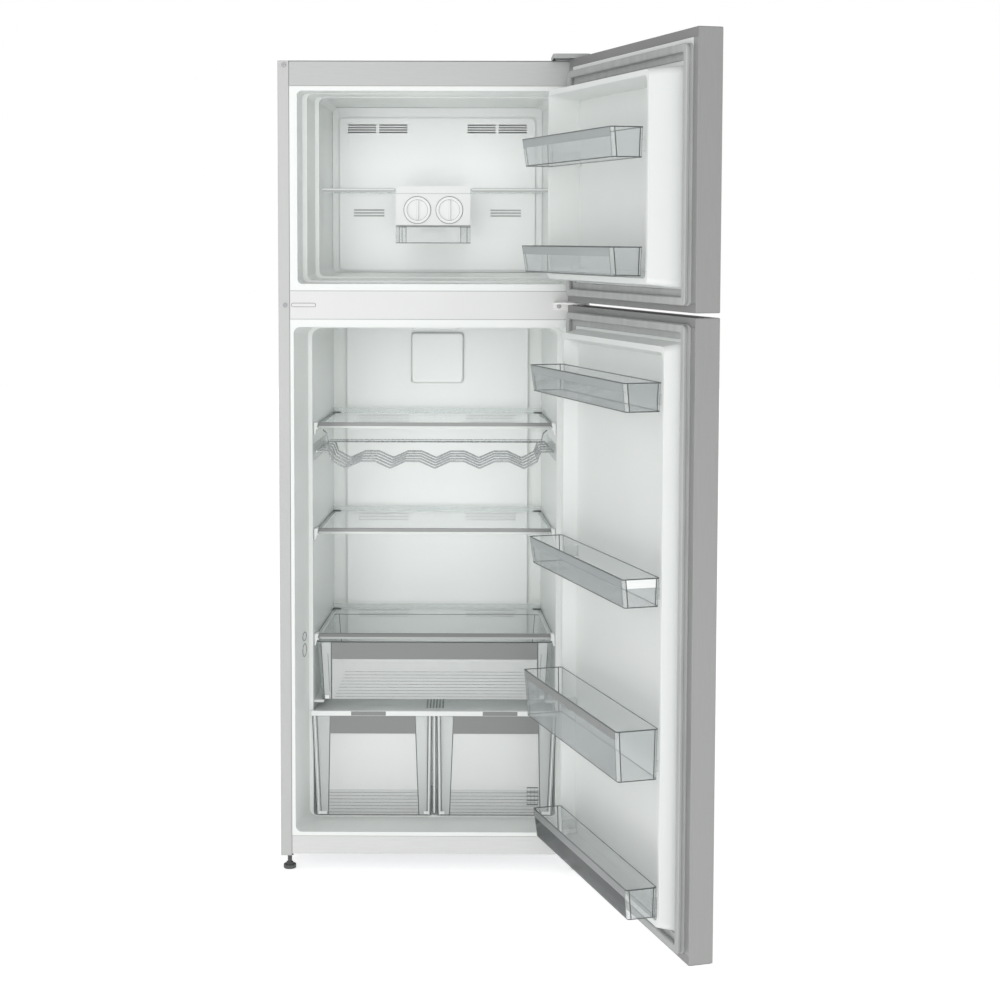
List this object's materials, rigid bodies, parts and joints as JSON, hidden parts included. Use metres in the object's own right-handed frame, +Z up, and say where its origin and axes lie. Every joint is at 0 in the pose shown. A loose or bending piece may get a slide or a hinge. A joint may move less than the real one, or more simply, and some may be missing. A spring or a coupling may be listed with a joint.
{
  "type": "refrigerator",
  "caption": "Upright two-door refrigerator with a freezer on top: hinged doors with clear bins, glass shelves, sliding drawers, twist ice trays and a wire bottle rack.",
  "frame": {"origin": "on the floor, half way across the cabinet, in the plane of its front frame", "axes": "+X to the right seen from the front, +Y into the cabinet, +Z up"},
  "size_m": [0.9027, 1.3126, 1.861],
  "materials": {
    "case_steel": "satin",
    "frame_grey": "satin",
    "rear_steel": "satin",
    "frame_light": "satin",
    "mullion_white": "satin",
    "galvanised": "satin",
    "liner_white": "satin",
    "foam": "matte",
    "panel_white": "satin",
    "fin_aluminium": "satin",
    "cover_dark": "satin",
    "black_paint": "satin",
    "foot_dark": "matte",
    "bracket_white": "gloss",
    "screw_steel": "satin",
    "shelf_glass": "polished",
    "trim_grey": "satin",
    "trim_white": "satin",
    "chrome_wire": "polished",
    "clear_plastic": "gloss",
    "bin_plastic": "gloss",
    "knob_grey": "satin",
    "cap_grey": "satin",
    "gasket_grey": "matte"
  },
  "bodies": {
    "cabinet": {"side_panel_left": "case_steel", "side_panel_right": "case_steel", "top_panel": "case_steel", "top_front_bar": "frame_grey", "back_panel": "rear_steel", "bottom_front_bar": "frame_light", "mullion_cover": "mullion_white", "base_plate": "galvanised", "fridge_liner": "liner_white", "freezer_liner": "liner_white", "cabinet_foam": "foam", "freezer_back_cover": "panel_white", "evaporator": "fin_aluminium", "fan_motor": "cover_dark", "air_duct_panel": "panel_white", "airflow_cover": "panel_white", "compressor": "black_paint", "drain_pan": "cover_dark", "compressor_cover": "rear_steel", "cable_gland": "foot_dark", "rear_spacers": "foot_dark", "top_hinge_bracket": "galvanised", "top_hinge_cover": "cover_dark", "middle_hinge_bracket": "bracket_white", "bottom_hinge_bracket": "galvanised", "case_screws": "screw_steel", "shelf_glass": "shelf_glass", "shelf_trims": "trim_grey", "wine_rack": "chrome_wire", "rack_rails": "clear_plastic", "crisper_cover_glass": "shelf_glass", "crisper_cover_trim": "trim_white", "freezer_shelf_glass": "shelf_glass", "freezer_shelf_trim": "trim_grey", "ice_maker_housing": "panel_white", "lamp_lens": "panel_white"},
    "freezer_door": {"freezer_door_skin": "case_steel", "freezer_door_end_caps": "cap_grey", "freezer_door_liner": "liner_white", "freezer_door_foam": "foam", "freezer_door_gasket": "gasket_grey", "freezer_door_bins": "bin_plastic"},
    "fridge_door": {"fridge_door_skin": "case_steel", "fridge_door_end_caps": "cap_grey", "fridge_door_liner": "liner_white", "fridge_door_foam": "foam", "fridge_door_gasket": "gasket_grey", "fridge_door_bins": "bin_plastic", "bottle_bin": "bin_plastic", "floor_bin": "bin_plastic"},
    "crisper_left": {"crisper_left": "clear_plastic"},
    "crisper_right": {"crisper_right": "clear_plastic"},
    "chiller_drawer": {"chiller_drawer": "clear_plastic"},
    "ice_box": {"ice_box": "clear_plastic"},
    "ice_tray_left": {"ice_tray_left": "knob_grey"},
    "ice_tray_right": {"ice_tray_right": "knob_grey"},
    "fan_rotor": {"fan_rotor": "panel_white"},
    "rear_rollers": {"rear_rollers": "foot_dark"},
    "foot_left": {"foot_left": "foot_dark"},
    "foot_right": {"foot_right": "foot_dark"}
  },
  "joints": [
    {"name": "freezer_door_hinge", "type": "hinge", "parent": "cabinet", "child": "freezer_door", "pos_m": [0.33, -0.04, 1.58], "axis": [0, 0, 1], "range_deg": [-107, 28]},
    {"name": "fridge_door_hinge", "type": "hinge", "parent": "cabinet", "child": "fridge_door", "pos_m": [0.33, -0.04, 0.68], "axis": [0, 0, 1], "range_deg": [-107, 28]},
    {"name": "crisper_left_slide", "type": "slide", "parent": "cabinet", "child": "crisper_left", "axis": [0, -1, 0], "range_m": [0, 0.188]},
    {"name": "crisper_right_slide", "type": "slide", "parent": "cabinet", "child": "crisper_right", "axis": [0, -1, 0], "range_m": [0, 0.188]},
    {"name": "chiller_drawer_slide", "type": "slide", "parent": "cabinet", "child": "chiller_drawer", "axis": [0, -1, 0], "range_m": [0, 0.21]},
    {"name": "ice_box_slide", "type": "slide", "parent": "cabinet", "child": "ice_box", "axis": [0, -1, 0], "range_m": [0, 0.12]},
    {"name": "ice_tray_left_twist", "type": "hinge", "parent": "cabinet", "child": "ice_tray_left", "pos_m": [-0.0415, 0.25, 1.52], "axis": [0, 1, 0], "range_deg": [0, 150], "stiffness_Nm_per_rad": 0.3},
    {"name": "ice_tray_right_twist", "type": "hinge", "parent": "cabinet", "child": "ice_tray_right", "pos_m": [0.0328, 0.25, 1.52], "axis": [0, 1, 0], "range_deg": [0, 150], "stiffness_Nm_per_rad": 0.3},
    {"name": "fan_spin", "type": "hinge", "parent": "cabinet", "child": "fan_rotor", "pos_m": [0, 0.463, 1.65], "axis": [0, 1, 0], "continuous": true},
    {"name": "rear_roller_spin", "type": "hinge", "parent": "cabinet", "child": "rear_rollers", "pos_m": [0, 0.56, 0.019], "axis": [1, 0, 0], "continuous": true},
    {"name": "foot_left_turn", "type": "hinge", "parent": "cabinet", "child": "foot_left", "pos_m": [-0.333, 0.036, 0.02], "axis": [0, 0, 1], "range_deg": [0, 720]},
    {"name": "foot_right_turn", "type": "hinge", "parent": "cabinet", "child": "foot_right", "pos_m": [0.333, 0.036, 0.02], "axis": [0, 0, 1], "range_deg": [0, 720]}
  ]
}
